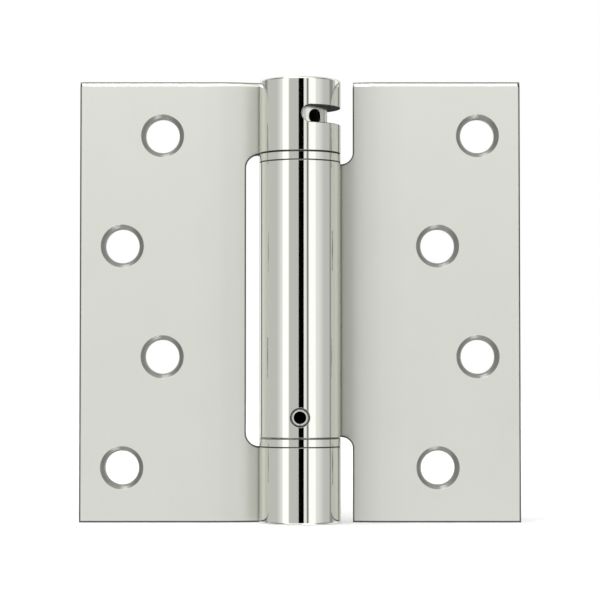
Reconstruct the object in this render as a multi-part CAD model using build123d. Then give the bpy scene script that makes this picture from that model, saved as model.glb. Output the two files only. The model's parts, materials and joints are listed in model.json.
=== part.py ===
from build123d import *
import os
from math import acos, asin, atan2, cos, degrees, radians, sin, sqrt, tan

# Spring hinge, opened flat. The pin axis is Z, the origin is on it at mid-height,
# and the countersunk faces of both leaves look towards -Y. All sizes are in millimetres.

# Leaves
HINGE_HEIGHT = 114.3
LEAF_REACH = 57.15  # pin axis to a leaf's outer edge
LEAF_THICKNESS = 3.4
CLOSED_GAP = 1.6  # between the two leaf faces when the hinge is shut
LEAF_EDGE_EASE = 0.35  # rounding of a leaf's long outer edge
TOP_BEVEL = 1.2  # bevel on the front of a leaf's top edge
BEVEL_STOP = 0.3  # where the bevel ends, measured out from the barrel

# Rolled knuckles and the swage that carries a leaf to the barrel's middle
BARREL_RADIUS = 10.5
SWAGE_RADIUS = 30.0  # at the middle of the sheet
SEAM_GAP = 0.35  # between the rolled end and the leaf's face
TOP_KNUCKLE = 18.95
BOTTOM_KNUCKLE = 19.6
KNUCKLE_EDGE = 0.3  # chamfer round each knuckle's end
KNUCKLE_PLAY = 0.15  # axial play at each bearing washer

# Cut-outs beside the barrel
FRAME_NOTCH_CLEARANCE = 3.8
FRAME_NOTCH_CORNER = 3.5
DOOR_NOTCH_CLEARANCE = 3.5
DOOR_NOTCH_CORNER = 2.9

# Screw holes, staggered, counted from the top
HOLES_PER_LEAF = 4
HOLE_END_DISTANCE = 14.1  # leaf's end to its first hole
HOLE_OUTER_MARGIN = 11.05  # leaf's outer edge to the outer row
HOLE_INNER_MARGIN = 21.45  # leaf's outer edge to the inner row
HOLE_RADIUS = 4.4
COUNTERSINK_RADIUS = 5.65
COUNTERSINK_ANGLE = 82.0

# Bearing washers
WASHER_THICKNESS = 2.2

# Adjusting window in the top knuckle, angles counted from the front towards the door leaf
WINDOW_FROM_TOP = 9.4
WINDOW_HEIGHT = 4.4
WINDOW_START = 3.0
WINDOW_END = 150.0

# End caps
CAP_THICKNESS = 2.5
CAP_RECESS = 0.4
CAP_EDGE = 0.5

# Tension collar and spring anchor, the two pintles that turn in the knuckles
PINTLE_CLEARANCE = 0.05
CAP_PLAY = 0.2  # between a pintle and its end cap
COLLAR_INSERTION = 20.0  # depth of the collar in the spring barrel
COLLAR_HOLES = 4
COLLAR_HOLE_RADIUS = 1.8
COLLAR_HOLE_DROP = 0.35  # holes below the window's middle
COLLAR_HOLE_DEPTH = 4.6
COLLAR_HOLE_TURN = 34.0  # angle of the first hole, counted as the window's
ANCHOR_INSERTION = 20.5  # height of the anchor in the spring barrel
ARBOR_LENGTH = 7.0

# Torsion spring of flat-section wire
WIRE_WIDTH = 2.2  # across the coil
WIRE_HEIGHT = 3.4  # along the coil's axis
COIL_GAP = 0.4  # least gap between turns
COIL_SIDES = 16  # straight facets to a turn
SPRING_BORE_CLEARANCE = 0.6
SPRING_END_PLAY = 0.1
ARBOR_CLEARANCE = 0.2
TANG_CLEARANCE = 0.15
TANG_SHORTFALL = 0.8  # tang's tip inside the arbor's far side

# Roll pin through the barrel into the anchor
PIN_RADIUS = 2.38
PIN_BORE_RADIUS = 1.55
PIN_SLIT = 0.7
PIN_LENGTH = 13.5
PIN_SET_IN = 0.25  # pin's end below the barrel's surface
PIN_EDGE = 0.35  # chamfer round the pin's front end
PIN_FROM_BARREL_END = 5.25
PIN_HOLE_EDGE = 0.1  # least width of the chamfer round the hole
PIN_HOLE_ROOM = 0.3  # behind the pin in the anchor

CUT_MARGIN = 1.0  # how far cutters stand past what they cut

# Levels along the pin axis
TOP_END = HINGE_HEIGHT / 2
BOTTOM_END = -HINGE_HEIGHT / 2
UPPER_KNUCKLE_FOOT = TOP_END - TOP_KNUCKLE
LOWER_KNUCKLE_HEAD = BOTTOM_END + BOTTOM_KNUCKLE
BARREL_TOP = UPPER_KNUCKLE_FOOT - KNUCKLE_PLAY - WASHER_THICKNESS
BARREL_FOOT = LOWER_KNUCKLE_HEAD + WASHER_THICKNESS + KNUCKLE_PLAY
WINDOW_LEVEL = TOP_END - WINDOW_FROM_TOP
PIN_LEVEL = BARREL_FOOT + PIN_FROM_BARREL_END
COLLAR_SHOULDER = BARREL_TOP - COLLAR_INSERTION
ANCHOR_SHOULDER = BARREL_FOOT + ANCHOR_INSERTION

# Places across the leaf
FACE_Y = CLOSED_GAP / 2
BACK_Y = FACE_Y + LEAF_THICKNESS
BORE_RADIUS = BARREL_RADIUS - LEAF_THICKNESS
PINTLE_RADIUS = BORE_RADIUS - PINTLE_CLEARANCE
SPRING_RADIUS = BORE_RADIUS - SPRING_BORE_CLEARANCE - WIRE_WIDTH / 2
ARBOR_RADIUS = SPRING_RADIUS - WIRE_WIDTH / 2 - ARBOR_CLEARANCE

# The swage bends about a line behind the leaf, and its sheet runs smoothly into the rolled knuckle
SWAGE_CENTRE_Y = FACE_Y + LEAF_THICKNESS / 2 + SWAGE_RADIUS
SWAGE_CENTRE_OUT = BARREL_RADIUS - LEAF_THICKNESS / 2 + SWAGE_RADIUS
SWAGE_CENTRE_X = -sqrt(SWAGE_CENTRE_OUT**2 - SWAGE_CENTRE_Y**2)
ROLL_START = degrees(atan2(SWAGE_CENTRE_Y, SWAGE_CENTRE_X))
SWAGE_FRONT = SWAGE_RADIUS + LEAF_THICKNESS / 2
SWAGE_BACK = SWAGE_RADIUS - LEAF_THICKNESS / 2


def roll_opening():
    """Angle left open in a rolled knuckle, so that its end stops SEAM_GAP short of the swage's front."""
    reach = SWAGE_FRONT + SEAM_GAP
    cosine = BARREL_RADIUS**2 + SWAGE_CENTRE_OUT**2 - reach**2
    return degrees(acos(cosine / (2 * BARREL_RADIUS * SWAGE_CENTRE_OUT)))


ROLL_SWEEP = 360 - roll_opening()
ROLL_END = ROLL_START - ROLL_SWEEP


def on_circle(radius, angle):
    """Point of a circle about the pin axis."""
    return (radius * cos(radians(angle)), radius * sin(radians(angle)))


def front_angle(turn):
    """Angle from +X of a direction counted from the front (-Y) towards +X."""
    return turn - 90


def leaf_section():
    """Sheet of a leaf that reaches to -X: flat plate, swage bent backwards, knuckle rolled over the back."""
    swage = (SWAGE_CENTRE_X, SWAGE_CENTRE_Y)
    bend = ROLL_START - 90
    outline = [
        Line((-LEAF_REACH, BACK_Y), (SWAGE_CENTRE_X, BACK_Y)),
        CenterArc(swage, SWAGE_BACK, -90, bend),
        CenterArc((0, 0), BARREL_RADIUS, ROLL_START, -ROLL_SWEEP),
        Line(on_circle(BARREL_RADIUS, ROLL_END), on_circle(BORE_RADIUS, ROLL_END)),
        CenterArc((0, 0), BORE_RADIUS, ROLL_START, -ROLL_SWEEP),
        CenterArc(swage, SWAGE_FRONT, -90, bend),
        Line((SWAGE_CENTRE_X, FACE_Y), (-LEAF_REACH, FACE_Y)),
        Line((-LEAF_REACH, FACE_Y), (-LEAF_REACH, BACK_Y)),
    ]
    sheet = make_face(outline)
    outer_corners = sheet.vertices().sort_by(Axis.X)[:2]
    return fillet(outer_corners, radius=LEAF_EDGE_EASE)


def leaf_blank():
    """Leaf section drawn out to the hinge's full height."""
    return extrude(Pos(0, 0, BOTTOM_END) * leaf_section(), amount=HINGE_HEIGHT, dir=(0, 0, 1))


def cut_out(left, right, low, high, corner):
    """Cutter through the leaf from front to back, with round corners, between two X and two Z limits."""
    outline = RectangleRounded(right - left, high - low, corner)
    outline = Plane.XZ * Pos((left + right) / 2, (low + high) / 2) * outline
    return extrude(outline, amount=2 * BARREL_RADIUS, both=True)


def top_bevel():
    """Wedge that takes the front off a leaf's top edge, as far as the barrel."""
    far = CUT_MARGIN
    wedge = Polygon(
        (FACE_Y - far, TOP_END - TOP_BEVEL - far),
        (FACE_Y + TOP_BEVEL + far, TOP_END + far),
        (FACE_Y - far, TOP_END + far),
        align=None,
    )
    start = BARREL_RADIUS + BEVEL_STOP
    return extrude(
        Plane.YZ * Pos(0, 0, -start) * wedge, amount=LEAF_REACH + far - start, dir=(-1, 0, 0)
    )


def rim_chamfer(level, towards):
    """Ring that chamfers the end of a rolled knuckle, from its seam round to the swage."""
    far = KNUCKLE_EDGE / 2
    inner = BARREL_RADIUS - KNUCKLE_EDGE - far
    outer = BARREL_RADIUS + far
    corner = Polygon(
        (inner, level + towards * far),
        (outer, level + towards * far),
        (outer, level - towards * (KNUCKLE_EDGE + far)),
        align=None,
    )
    return Rot(0, 0, ROLL_END) * revolve(Plane.XZ * corner, axis=Axis.Z, revolution_arc=ROLL_SWEEP)


def along_y(radius_front, radius_back, front, back):
    """Solid of revolution along Y between two Y limits, straight or conical."""
    length = back - front
    if radius_front == radius_back:
        solid = Cylinder(radius_front, length)
    else:
        solid = Cone(radius_front, radius_back, length)
    return Pos(0, (front + back) / 2, 0) * Rot(-90, 0, 0) * solid


def screw_holes(first_margin, second_margin):
    """Countersunk holes down a leaf that reaches to -X, on two rows in turn."""
    slope = tan(radians(COUNTERSINK_ANGLE / 2))
    depth = (COUNTERSINK_RADIUS - HOLE_RADIUS) / slope
    mouth = COUNTERSINK_RADIUS + CUT_MARGIN * slope
    drill = along_y(HOLE_RADIUS, HOLE_RADIUS, FACE_Y - CUT_MARGIN, BACK_Y + CUT_MARGIN)
    drill += along_y(mouth, HOLE_RADIUS, FACE_Y - CUT_MARGIN, FACE_Y + depth)
    pitch = (HINGE_HEIGHT - 2 * HOLE_END_DISTANCE) / (HOLES_PER_LEAF - 1)
    drills = []
    for row in range(HOLES_PER_LEAF):
        margin = second_margin if row % 2 else first_margin
        level = TOP_END - HOLE_END_DISTANCE - row * pitch
        drills.append(Pos(margin - LEAF_REACH, 0, level) * drill)
    return drills


def adjusting_window():
    """Slot round the top knuckle with full-round ends, through its wall."""
    inner = BORE_RADIUS - CUT_MARGIN
    outer = BARREL_RADIUS + CUT_MARGIN
    end_turn = degrees(asin(WINDOW_HEIGHT / 2 / BARREL_RADIUS))
    first = front_angle(WINDOW_START + end_turn)
    last = front_angle(WINDOW_END - end_turn)
    wall = Plane.XZ * Pos((inner + outer) / 2, WINDOW_LEVEL) * Rectangle(outer - inner, WINDOW_HEIGHT)
    slot = Rot(0, 0, first) * revolve(wall, axis=Axis.Z, revolution_arc=last - first)
    end = Pos((inner + outer) / 2, 0, WINDOW_LEVEL) * Rot(0, 90, 0)
    end = end * Cylinder(WINDOW_HEIGHT / 2, outer - inner)
    for angle in (first, last):
        slot += Rot(0, 0, angle) * end
    return slot


def make_frame_leaf():
    """Left leaf with the top and bottom knuckles."""
    leaf = leaf_blank()
    leaf -= cut_out(
        -BARREL_RADIUS - FRAME_NOTCH_CLEARANCE,
        BARREL_RADIUS + 2 * FRAME_NOTCH_CORNER,
        LOWER_KNUCKLE_HEAD,
        UPPER_KNUCKLE_FOOT,
        FRAME_NOTCH_CORNER,
    )
    leaf -= top_bevel()
    for level, towards in (
        (TOP_END, 1),
        (UPPER_KNUCKLE_FOOT, -1),
        (LOWER_KNUCKLE_HEAD, 1),
        (BOTTOM_END, -1),
    ):
        leaf -= rim_chamfer(level, towards)
    leaf -= screw_holes(HOLE_INNER_MARGIN, HOLE_OUTER_MARGIN)
    return leaf - adjusting_window()


def make_door_leaf():
    """Right leaf with the spring barrel, made as a left one and mirrored."""
    leaf = leaf_blank()
    notch_edge = -BARREL_RADIUS - DOOR_NOTCH_CLEARANCE
    past_barrel = BARREL_RADIUS + 2 * DOOR_NOTCH_CORNER
    past_end = TOP_END + 2 * DOOR_NOTCH_CORNER
    leaf -= cut_out(notch_edge, past_barrel, BARREL_TOP, past_end, DOOR_NOTCH_CORNER)
    leaf -= cut_out(notch_edge, past_barrel, -past_end, BARREL_FOOT, DOOR_NOTCH_CORNER)
    leaf -= top_bevel()
    leaf -= rim_chamfer(BARREL_TOP, 1)
    leaf -= rim_chamfer(BARREL_FOOT, -1)
    leaf -= screw_holes(HOLE_OUTER_MARGIN, HOLE_INNER_MARGIN)
    return mirror(leaf, about=Plane.YZ) - pin_hole()


def make_washer(foot):
    """Bearing washer as wide as the barrel."""
    ring = Circle(BARREL_RADIUS) - Circle(BORE_RADIUS)
    return extrude(Pos(0, 0, foot) * ring, amount=WASHER_THICKNESS)


def make_cap(level, towards):
    """Disc pressed into a knuckle's end, with its outer edge eased."""
    cap = Cylinder(BORE_RADIUS, CAP_THICKNESS)
    outer_rim = cap.edges().filter_by(GeomType.CIRCLE).sort_by(Axis.Z)[-1]
    cap = chamfer(outer_rim, CAP_EDGE)
    if towards < 0:
        cap = Rot(180, 0, 0) * cap
    return Pos(0, 0, level - towards * (CAP_RECESS + CAP_THICKNESS / 2)) * cap


def make_pintle(shoulder, cap_end, towards):
    """Pintle between a shoulder and its end cap, with a slotted arbor for the spring past the shoulder."""
    body = Pos(0, 0, (shoulder + cap_end) / 2) * Cylinder(PINTLE_RADIUS, abs(cap_end - shoulder))
    slot = Box(2 * PINTLE_RADIUS, WIRE_WIDTH + 2 * TANG_CLEARANCE, ARBOR_LENGTH)
    arbor = Cylinder(ARBOR_RADIUS, ARBOR_LENGTH) - slot
    return body + Pos(0, 0, shoulder + towards * ARBOR_LENGTH / 2) * arbor


def make_tension_collar():
    """Upper pintle: collar seen in the window, with radial holes, reaching down into the spring barrel."""
    collar = make_pintle(COLLAR_SHOULDER, TOP_END - CAP_RECESS - CAP_THICKNESS - CAP_PLAY, -1)
    tip = COLLAR_HOLE_DEPTH - PINTLE_RADIUS
    drill = along_y(COLLAR_HOLE_RADIUS, COLLAR_HOLE_RADIUS, -PINTLE_RADIUS - CUT_MARGIN, tip)
    for step in range(COLLAR_HOLES):
        turn = COLLAR_HOLE_TURN + step * 360 / COLLAR_HOLES
        collar -= Rot(0, 0, turn) * Pos(0, 0, WINDOW_LEVEL - COLLAR_HOLE_DROP) * drill
    return collar


def pin_hole():
    """Cutter for the roll pin's hole, through the barrel's wall and into the anchor. Its chamfer is narrowest
    beside the hole, where the barrel falls away."""
    front = -BARREL_RADIUS - CUT_MARGIN
    tip = PIN_SET_IN - BARREL_RADIUS + PIN_LENGTH + PIN_HOLE_ROOM
    chamfer_end = PIN_HOLE_EDGE - sqrt(BARREL_RADIUS**2 - PIN_RADIUS**2)
    mouth = PIN_RADIUS + chamfer_end - front
    hole = along_y(PIN_RADIUS, PIN_RADIUS, front, tip) + along_y(mouth, PIN_RADIUS, front, chamfer_end)
    return Pos(0, 0, PIN_LEVEL) * hole


def make_spring_anchor():
    """Lower pintle: plug pinned in the barrel, reaching down into the bottom knuckle."""
    anchor = make_pintle(ANCHOR_SHOULDER, BOTTOM_END + CAP_RECESS + CAP_THICKNESS + CAP_PLAY, 1)
    return anchor - pin_hole()


def make_roll_pin():
    """Slotted tube, its slit downwards, set just below the barrel's surface."""
    tube = Cylinder(PIN_RADIUS, PIN_LENGTH)
    front_rim = tube.edges().filter_by(GeomType.CIRCLE).sort_by(Axis.Z)[0]
    tube = chamfer(front_rim, PIN_EDGE) - Cylinder(PIN_BORE_RADIUS, PIN_LENGTH)
    tube -= Pos(0, PIN_RADIUS, 0) * Box(PIN_SLIT, 2 * PIN_RADIUS, PIN_LENGTH)
    middle = PIN_SET_IN - BARREL_RADIUS + PIN_LENGTH / 2
    return Pos(0, middle, PIN_LEVEL) * Rot(-90, 0, 0) * tube


def flat_facet(*corners):
    """Flat face between corner points."""
    return Face(Wire.make_polygon(corners))


def make_coil(low, high):
    """Left-handed flat-wire coil between two levels of its middle line, in straight facets from one upright
    section of the wire to the next, as many whole turns as there is room for."""
    steps = COIL_SIDES * int((high - low) / (WIRE_HEIGHT + COIL_GAP))
    inside = SPRING_RADIUS - WIRE_WIDTH / 2
    outside = SPRING_RADIUS + WIRE_WIDTH / 2
    sections = []
    for step in range(steps + 1):
        angle = -360 * step / COIL_SIDES
        foot = low + (high - low) * step / steps - WIRE_HEIGHT / 2
        inner, outer = on_circle(inside, angle), on_circle(outside, angle)
        head = foot + WIRE_HEIGHT
        sections.append(((*inner, foot), (*outer, foot), (*outer, head), (*inner, head)))
    facets = [flat_facet(*sections[0]), flat_facet(*sections[-1])]
    for here, there in zip(sections, sections[1:]):
        for side, following in ((0, 1), (1, 2), (2, 3), (3, 0)):
            facets.append(flat_facet(here[side], here[following], there[following]))
            facets.append(flat_facet(here[side], there[following], there[side]))
    return Solid(Shell(facets))


def make_torsion_spring():
    """Coil wound left-handed, so that loading tightens it, with a tang across each arbor."""
    low = ANCHOR_SHOULDER + SPRING_END_PLAY + WIRE_HEIGHT / 2
    high = COLLAR_SHOULDER - SPRING_END_PLAY - WIRE_HEIGHT / 2
    spring = make_coil(low, high)
    outside = SPRING_RADIUS + WIRE_WIDTH / 2
    tang_length = outside + ARBOR_RADIUS - TANG_SHORTFALL
    tang = Box(tang_length, WIRE_WIDTH, WIRE_HEIGHT)
    for level in (low, high):
        spring += Pos(outside - tang_length / 2, 0, level) * tang
    return spring


PIECES = {
    "frame_leaf": make_frame_leaf,
    "door_leaf": make_door_leaf,
    "upper_bearing_washer": lambda: make_washer(BARREL_TOP),
    "lower_bearing_washer": lambda: make_washer(LOWER_KNUCKLE_HEAD),
    "tension_collar": make_tension_collar,
    "torsion_spring": make_torsion_spring,
    "spring_anchor": make_spring_anchor,
    "anchor_roll_pin": make_roll_pin,
    "top_cap": lambda: make_cap(TOP_END, 1),
    "bottom_cap": lambda: make_cap(BOTTOM_END, -1),
}

os.makedirs("parts", exist_ok=True)
for name, make in PIECES.items():
    export_step(make(), f"parts/{name}.step")
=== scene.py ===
import json
import math

import bpy
import numpy as np
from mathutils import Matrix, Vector
from mathutils.geometry import delaunay_2d_cdt

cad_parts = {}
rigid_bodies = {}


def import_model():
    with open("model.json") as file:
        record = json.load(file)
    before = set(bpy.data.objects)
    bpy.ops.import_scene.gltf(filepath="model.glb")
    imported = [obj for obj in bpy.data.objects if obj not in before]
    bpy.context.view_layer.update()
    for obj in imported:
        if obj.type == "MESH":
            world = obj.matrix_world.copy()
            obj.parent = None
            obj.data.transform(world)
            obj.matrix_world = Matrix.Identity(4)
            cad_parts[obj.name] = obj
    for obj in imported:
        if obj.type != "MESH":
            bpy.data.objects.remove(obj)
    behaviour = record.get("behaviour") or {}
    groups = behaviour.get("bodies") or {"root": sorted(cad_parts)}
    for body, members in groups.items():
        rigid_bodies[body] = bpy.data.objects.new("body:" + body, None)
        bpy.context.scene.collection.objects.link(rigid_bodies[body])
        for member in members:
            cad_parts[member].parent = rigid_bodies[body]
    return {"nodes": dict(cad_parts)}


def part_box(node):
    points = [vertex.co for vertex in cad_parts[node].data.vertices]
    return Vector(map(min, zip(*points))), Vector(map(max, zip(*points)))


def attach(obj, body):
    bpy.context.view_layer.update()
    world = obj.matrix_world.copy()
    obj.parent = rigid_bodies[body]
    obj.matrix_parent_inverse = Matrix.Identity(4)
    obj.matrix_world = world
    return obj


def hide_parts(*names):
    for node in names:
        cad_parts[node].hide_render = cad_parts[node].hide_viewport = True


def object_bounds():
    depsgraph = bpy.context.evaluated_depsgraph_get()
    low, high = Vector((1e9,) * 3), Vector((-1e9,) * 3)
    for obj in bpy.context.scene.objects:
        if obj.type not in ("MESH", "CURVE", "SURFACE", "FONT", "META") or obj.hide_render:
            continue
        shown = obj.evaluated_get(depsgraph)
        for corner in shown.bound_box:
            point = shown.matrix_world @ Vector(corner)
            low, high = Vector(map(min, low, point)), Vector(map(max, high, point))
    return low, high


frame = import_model()

bl_info = {
    "name": "Spring Hinge",
    "version": (1, 0, 0),
    "blender": (4, 5, 0),
    "location": "View3D > Sidebar > Hinge",
    "description": "Builds the visible pieces of a spring hinge on its CAD frame, and a studio round it",
    "category": "Object",
}

# Places taken from the CAD frame, in metres
MM = 0.001
CAD_LOW, CAD_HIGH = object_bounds()
LEAF_LOW, LEAF_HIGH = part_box("frame_leaf")
UPPER_WASHER_LOW, UPPER_WASHER_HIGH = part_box("upper_bearing_washer")
LOWER_WASHER_LOW, LOWER_WASHER_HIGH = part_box("lower_bearing_washer")
TOP_CAP_LOW, TOP_CAP_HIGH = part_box("top_cap")
BOTTOM_CAP_LOW, BOTTOM_CAP_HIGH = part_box("bottom_cap")
PIN_LOW, PIN_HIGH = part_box("anchor_roll_pin")
PIN_LEVEL = (PIN_LOW.z + PIN_HIGH.z) / 2
BARREL_RADIUS = UPPER_WASHER_HIGH.x
LEAF_REACH = -LEAF_LOW.x

# Fineness of the new meshes; the flat of a leaf keeps one row in three
FLAT_STEP = 6 * MM
ROW_STEP = 2 * MM
FLAT_ROW_EVERY = 3
SWAGE_STEPS = 24
ROLL_STEPS = 106
CORNER_STEPS = 14
HOLE_STEPS = 72
LATHE_STEPS = 120
ROUNDING_RINGS = 4

# Gap between the grid of a leaf's face and its edges, and the distance at which two points are one
GRID_GAP = 0.3 * MM
POINT_GAP_MM = 1e-7

# Stops beside a corner, in roundings of a leaf's edge and in cuts of a turned piece's corner
LEAF_SUPPORT = 1.2
TURNED_SUPPORT = 1.6

# Sine of the turn between two edges from which their corner is mitred
MITRE_SINE = 0.3

# Corners of the caps and of the roll pin are cut by these shares of their bevels
CAP_EASE = 1 / 8
PIN_EASE = 1 / 5

# Painted shade, from 0 to 1, on cut edges, in bores, and on a crook: a leaf's face beside the barrel
EDGE_SHADE = 0.85
SOFT_EDGE_SHADE = EDGE_SHADE / 2
BORE_SHADE = 0.97
FRAME_CROOK_SHADE = 0.22
DOOR_CROOK_SHADE = 0.4

# Where a crook starts before the swage, and how fast it ends and the roll's polish begins
CROOK_LEAD = 3 * MM
CROOK_FADE = 0.5 * MM
POLISH_FADE = 1.5 * MM

# Painted shade on an edge's eight rings from front to back: face, rounding, wall, rounding, face
EDGE_TINTS = np.array([0.0, 0.93, 0.93, 0.5, 0.3, 0.4, 0.4, 0.0])
JOINT_TINTS = np.array([0.0, 0.5, 0.5, 0.75, 0.75, 0.93, 0.93, 0.0])
BEVEL_TINTS = np.array([0.0, 0.0, 0.0, 1.0, 0.2, 0.4, 0.4, 0.0])
WINDOW_TINTS = np.array([0.0, 0.9, 0.93, 0.93, 0.93, 0.93, 0.9, 0.0])
COUNTERSINK_TINTS = np.array([0.0, 0.55, 0.55, 0.4, 0.4, 0.4, 0.4, 0.0])
END_TINTS = np.array([0.0, 0.6, 0.6, 0.3, 0.2, 0.0, 0.0, 0.0])

# Painted dark line at a bevel's foot: its width, the largest share of the bevel that it takes, and the share
# of the line's width over which the bevel's head takes on its tint
BEVEL_LINE = 0.7 * MM
LINE_LIMIT = 0.4
HEAD_SHARE = 1 / 4

# How far an edge's eight rings are turned on a lathe
EDGE_TURNED = np.zeros(2 * ROUNDING_RINGS)
COUNTERSINK_TURNED = np.array([0.0, 1.0, 1.0, 0.0, 0.0, 0.0, 0.0, 0.0])

# Marks of polishing: scales and detail of their patterns, their depth, and their strengths on each metal
LINE_SCALE, LINE_DETAIL = (5200.0, 5200.0, 110.0), 3.0
CLOUD_SCALE, CLOUD_DETAIL = 85.0, 4.0
NOISE_MIDDLE = 0.5
MARK_DEPTH = 0.01 * MM
PLATE_MARKS = {"lines": 0.03, "clouds": 0.03, "bump": 0.02}
STEEL_MARKS = {"lines": 0.05, "clouds": 0.04, "bump": 0.2}
WIRE_MARKS = {"lines": 0.15, "clouds": 0.1, "bump": 0.4}

# Painted shades between which a metal loses its sheen
SHEEN_SHADE, SHEENLESS_SHADE = 0.65, 0.95

# Depths under a turned piece's skin where the painted shade in its holes is full and where it starts, and
# the rounding of their rims
HOLE_DARK, HOLE_LIGHT = 0.8 * MM, 0.3 * MM
HOLE_ROUND, HOLE_ROUND_SAMPLES = 0.35 * MM, 8

WHITE = (1.0, 1.0, 1.0, 1.0)


def length(name, description, millimetres):
    """A length property, given in millimetres and kept in metres."""
    return bpy.props.FloatProperty(
        name=name, description=description, default=millimetres * MM, min=0.0, unit="LENGTH", precision=5
    )


def colour(name, description, value):
    """A colour property."""
    return bpy.props.FloatVectorProperty(
        name=name, description=description, default=value, size=3, min=0.0, max=1.0, subtype="COLOR"
    )


def factor(name, description, value):
    """A property between 0 and 1."""
    return bpy.props.FloatProperty(
        name=name, description=description, default=value, min=0.0, max=1.0, subtype="FACTOR"
    )


def angle(name, description, degrees):
    """An angle property, given in degrees and kept in radians."""
    return bpy.props.FloatProperty(
        name=name, description=description, default=math.radians(degrees), subtype="ANGLE"
    )


class HingeSheetSizes(bpy.types.PropertyGroup):
    """Sizes of the two rolled leaves."""

    thickness: length("Thickness", "Thickness of the leaf's sheet", 3.4)
    closed_gap: length("Closed Gap", "Gap between the leaf faces when the hinge is shut", 1.6)
    swage_radius: length("Swage Radius", "Bend from leaf to knuckle, at the middle of the sheet", 30.0)
    seam_gap: length("Seam Gap", "Gap between the rolled end and the leaf", 0.35)
    edge_round: length("Edge Round", "Rounding of the sheet's cut edges", 0.55)
    joint_round: length("Joint Round", "Rounding of the knuckles' ends", 0.2)
    top_bevel: length("Top Bevel", "Bevel on the front of a leaf's top edge", 1.2)
    bevel_stop: length("Bevel Stop", "Where the top bevel ends, measured out from the barrel", 0.3)
    knuckle_play: length("Knuckle Play", "Axial play at each bearing washer", 0.15)
    frame_notch: length("Frame Notch", "Clearance between barrel and frame leaf's cut-out", 3.8)
    frame_corner: length("Frame Corner", "Corner radius of the frame leaf's cut-out", 3.5)
    door_notch: length("Door Notch", "Clearance between barrel and door leaf's cut-outs", 3.5)
    door_corner: length("Door Corner", "Corner radius of the door leaf's cut-outs", 2.9)
    hole_end: length("Hole End Distance", "Leaf's end to its first screw hole", 14.1)
    hole_outer: length("Outer Row", "Leaf's outer edge to the outer row of holes", 11.05)
    hole_inner: length("Inner Row", "Leaf's outer edge to the inner row of holes", 21.45)
    hole_radius: length("Hole Radius", "Radius of a screw hole", 4.4)
    countersink_radius: length("Countersink Radius", "Radius of a countersink at the leaf's face", 5.65)
    countersink_angle: angle("Countersink Angle", "Included angle of a countersink", 82.0)
    window_from_top: length("Window From Top", "Leaf's top to the middle of the adjusting window", 9.4)
    window_height: length("Window Height", "Height of the adjusting window", 4.4)
    window_start: angle("Window Start", "Left end of the window, counted from the front", 3.0)
    window_end: angle("Window End", "Right end of the window, counted from the front", 150.0)
    hole_count: bpy.props.IntProperty(
        name="Hole Count", description="Screw holes in each leaf", default=4, min=2, max=8
    )


class HingeFittingSizes(bpy.types.PropertyGroup):
    """Sizes of the washers, caps and roll pin."""

    washer_edge: length("Washer Edge", "Rounding of a bearing washer's edges", 0.15)
    cap_edge: length("Cap Edge", "Bevel round an end cap's face", 0.5)
    pin_bore: length("Pin Bore Radius", "Radius of the roll pin's bore", 1.55)
    pin_edge: length("Pin Edge", "Bevel round the roll pin's front end", 0.35)
    pin_slit: length("Pin Slit", "Width of the roll pin's slit", 0.15)
    pin_hole_edge: length("Pin Hole Edge", "Rounding of the hole that holds the roll pin", 0.22)


class HingeFinish(bpy.types.PropertyGroup):
    """Colours and polish of the metals."""

    plate_colour: colour("Plate Colour", "Colour of the nickel plate", (0.84, 0.845, 0.785))
    steel_colour: colour("Steel Colour", "Colour of the plain steel inside", (0.7, 0.7, 0.68))
    collar_colour: colour("Collar Colour", "Colour of the tension collar", (0.74, 0.74, 0.7))
    spring_colour: colour("Spring Colour", "Colour of the spring's wire", (0.36, 0.36, 0.37))
    leaf_roughness: factor("Leaf Roughness", "Roughness of the leaves' flats", 0.42)
    barrel_roughness: factor("Barrel Roughness", "Roughness of the polished barrel", 0.05)
    pin_roughness: factor("Pin Roughness", "Roughness of the roll pin", 0.45)
    steel_roughness: factor("Steel Roughness", "Roughness of the plain steel", 0.22)
    spring_roughness: factor("Spring Roughness", "Roughness of the spring's wire", 0.3)
    turned_spread: factor("Turned Spread", "How far reflections spread in the countersinks", 0.9)


class HingeStudio(bpy.types.PropertyGroup):
    """Camera, floor and light."""

    camera_distance: length("Camera Distance", "Pin axis to camera", 580.0)
    camera_drop: length("Camera Drop", "Camera below the hinge's middle", 20.0)
    field: angle("Field of View", "Camera's field of view", 15.24)
    aim_height: length("Aim Height", "Level that the camera looks at, above the middle", 0.32)
    floor_size: length("Floor Size", "Side of the floor", 6000.0)
    floor_gap: length("Floor Gap", "Gap between the hinge's foot and the floor", 0.05)
    floor_colour: colour("Floor Colour", "Colour of the floor", (0.93, 0.93, 0.93))
    floor_roughness: factor("Floor Roughness", "Roughness of the floor", 0.9)
    floor_lift: factor("Floor Lift", "White added to the floor where the camera sees it", 0.13)


def smooth_step(low, high, value):
    """0 below low, 1 above high, and smooth between."""
    x = np.clip((value - low) / (high - low), 0.0, 1.0)
    return x * x * (3.0 - 2.0 * x)


def unit(vectors):
    """Vectors of length 1 in the same directions."""
    return vectors / np.linalg.norm(vectors, axis=-1, keepdims=True)


def with_z(across, z):
    """(x, y) arrays and an array of z, as (x, y, z)."""
    return np.concatenate([across, z[..., None]], -1)


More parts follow.
